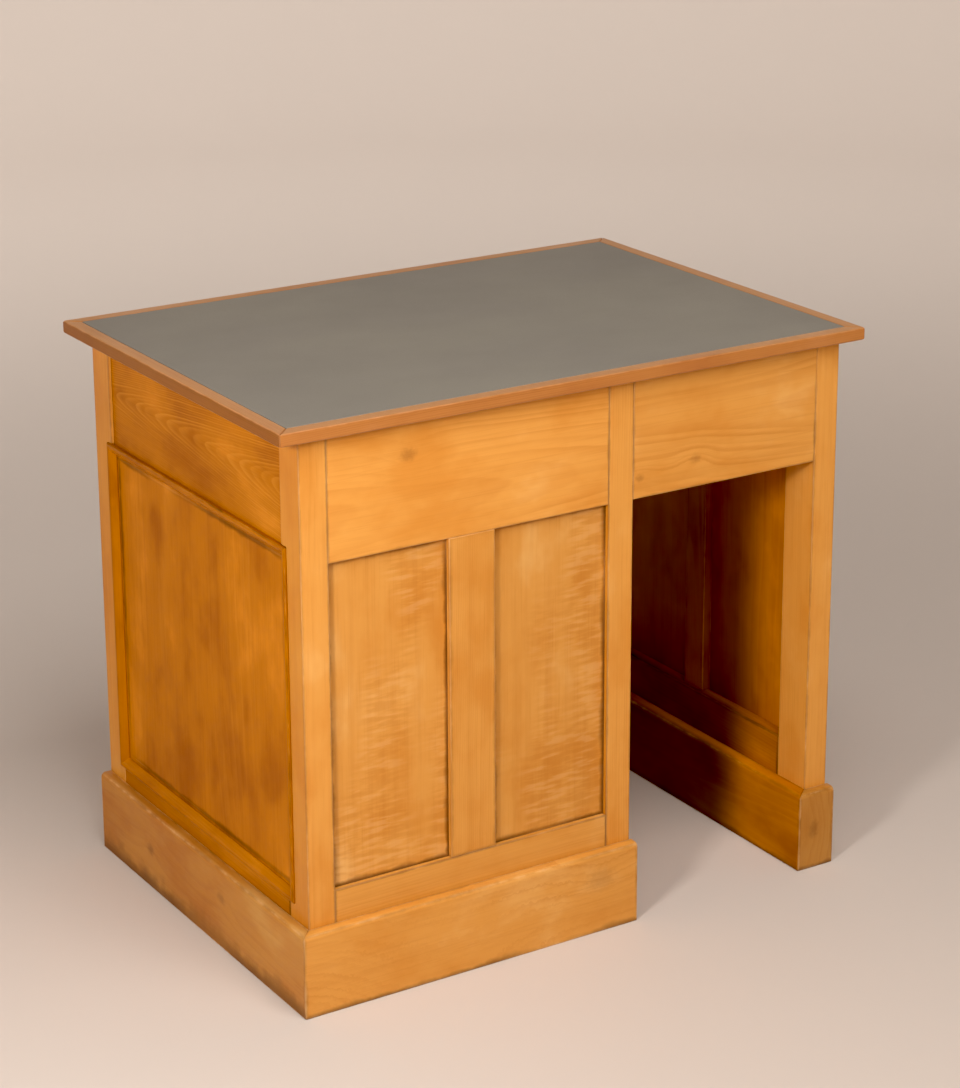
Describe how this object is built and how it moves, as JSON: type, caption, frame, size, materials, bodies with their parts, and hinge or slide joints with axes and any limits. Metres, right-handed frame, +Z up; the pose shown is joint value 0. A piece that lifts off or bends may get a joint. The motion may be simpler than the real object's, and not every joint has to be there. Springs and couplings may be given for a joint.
{
  "type": "teacher desk",
  "caption": "Panelled wooden teacher's desk with linoleum top, cupboard pedestal with drawer, open kneehole under a shallow drawer, and plinth.",
  "frame": {"origin": "on the floor, at the centre of the desk's plan", "axes": "+Z up, -Y towards the class side, +Y towards the teacher, -X towards the pedestal end, +X towards the kneehole end"},
  "size_m": [0.88, 0.615, 0.77],
  "materials": {
    "pine": "honey-coloured varnished pine, satin, lightly worn along the edges",
    "end_pine": "the same varnish over darker, more figured boards",
    "lipping": "reddish-brown hardwood edging, satin varnish",
    "linoleum": "matt grey-green desk linoleum",
    "inside_wood": "plain unvarnished pale wood, planed",
    "knob": "turned hardwood, polished",
    "brass": "aged brass, satin"
  },
  "bodies": {
    "carcass": {"top_core": "pine", "linoleum": "linoleum", "lipping_class": "lipping", "lipping_left": "lipping", "lipping_teacher": "lipping", "lipping_right": "lipping", "post_class_left": "pine", "post_class_middle": "pine", "post_class_right": "pine", "post_teacher_left": "pine", "post_teacher_middle": "pine", "post_teacher_right": "pine", "frieze_pedestal": "pine", "frieze_knee": "pine", "class_bottom_rail": "pine", "class_muntin": "pine", "class_panel_left": "pine", "class_panel_right": "pine", "left_frieze": "end_pine", "left_bottom_rail": "end_pine", "left_panel": "end_pine", "left_bead": "end_pine", "knee_wall_panel": "pine", "knee_wall_bottom_rail": "pine", "right_frieze": "end_pine", "right_bottom_rail": "end_pine", "right_panel": "end_pine", "right_batten": "end_pine", "right_bead": "end_pine", "plinth_class": "pine", "plinth_left": "end_pine", "plinth_right_cap": "pine", "plinth_right_inner": "end_pine", "kick_board": "pine", "cupboard_floor": "inside_wood", "cupboard_shelf": "inside_wood", "dust_board": "inside_wood", "knee_board": "inside_wood", "hinge_lower_post_leaf": "brass", "hinge_upper_post_leaf": "brass"},
    "cupboard_door": {"door_stile_hinge": "pine", "door_stile_knob": "pine", "door_rail_top": "pine", "door_rail_bottom": "pine", "door_panel": "pine", "door_knob": "knob", "hinge_lower_door_leaf": "brass", "hinge_upper_door_leaf": "brass"},
    "pedestal_drawer": {"pedestal_drawer_front": "pine", "pedestal_drawer_side_left": "inside_wood", "pedestal_drawer_side_right": "inside_wood", "pedestal_drawer_back": "inside_wood", "pedestal_drawer_bottom": "inside_wood", "pedestal_drawer_knob": "knob"},
    "knee_drawer": {"knee_drawer_front": "pine", "knee_drawer_side_left": "inside_wood", "knee_drawer_side_right": "inside_wood", "knee_drawer_back": "inside_wood", "knee_drawer_bottom": "inside_wood", "knee_drawer_knob": "knob"}
  },
  "joints": [
    {"name": "cupboard_door_hinge", "type": "hinge", "parent": "carcass", "child": "cupboard_door", "pos_m": [-0.368, 0.2915, 0.116], "axis": [0, 0, 1], "range_deg": [0, 105]},
    {"name": "pedestal_drawer_slide", "type": "slide", "parent": "carcass", "child": "pedestal_drawer", "axis": [0, 1, 0], "range_m": [0, 0.36]},
    {"name": "knee_drawer_slide", "type": "slide", "parent": "carcass", "child": "knee_drawer", "axis": [0, 1, 0], "range_m": [0, 0.36]}
  ]
}
